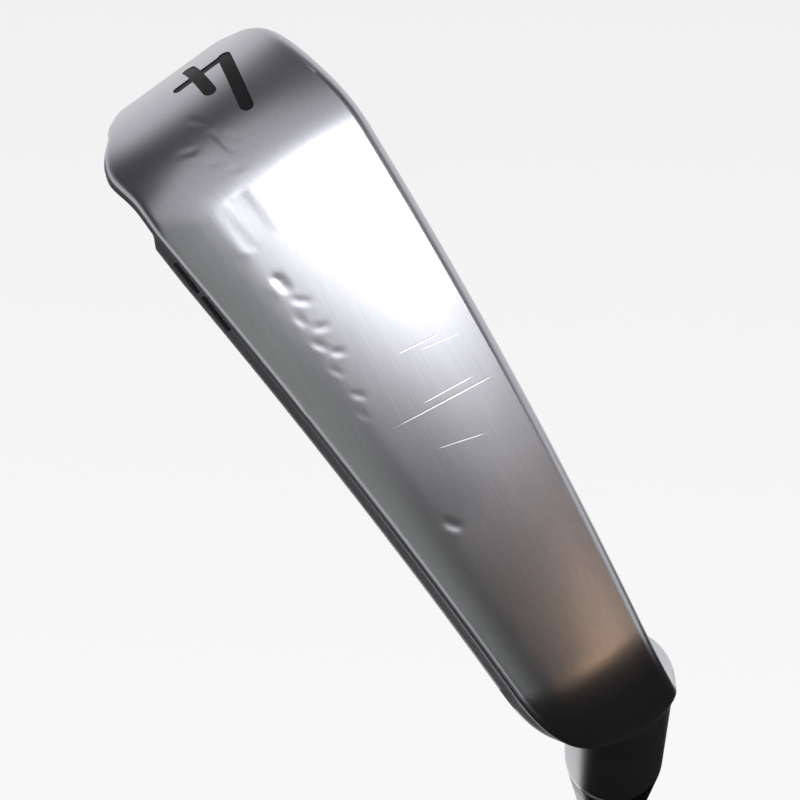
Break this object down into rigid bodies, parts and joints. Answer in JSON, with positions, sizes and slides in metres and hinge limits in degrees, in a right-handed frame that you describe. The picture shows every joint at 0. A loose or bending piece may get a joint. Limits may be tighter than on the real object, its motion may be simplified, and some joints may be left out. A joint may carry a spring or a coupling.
{
  "type": "iron golf club",
  "caption": "Right-handed cavity-back iron golf club with a brushed steel head, a stepped steel shaft and a black rubber grip.",
  "frame": {"origin": "centre of the grip cap's end face, at the mouth of the vent hole", "axes": "+Z runs along the shaft's axis from the butt of the grip to the head, +X to the side where the toe points, -Y to the side that the face looks to"},
  "size_m": [0.1005, 0.04, 1.008],
  "materials": {
    "head_steel": "satin",
    "enamel": "gloss enamel",
    "adhesive": "cured resin",
    "damper_rubber": "matte",
    "badge_metal": "satin",
    "weight_brass": "turned",
    "ring_metal": "polished",
    "ferrule_plastic": "gloss",
    "shaft_chrome": "polished",
    "band_foil": "printed foil",
    "tape": "paper tape",
    "grip_rubber": "moulded",
    "white_paint": "paint"
  },
  "bodies": {
    "root": {"head": "head_steel", "sole_number_fill": "enamel", "back_mark_fill": "enamel", "badge_adhesive": "adhesive", "badge_damper": "damper_rubber", "badge_plate": "badge_metal", "hosel_epoxy": "adhesive", "tip_weight": "weight_brass", "ferrule_ring": "ring_metal", "ferrule": "ferrule_plastic", "shaft": "shaft_chrome", "shaft_band": "band_foil", "grip_tape": "tape", "grip": "grip_rubber", "grip_cap": "grip_rubber", "grip_mark_fill": "white_paint"}
  },
  "joints": []
}
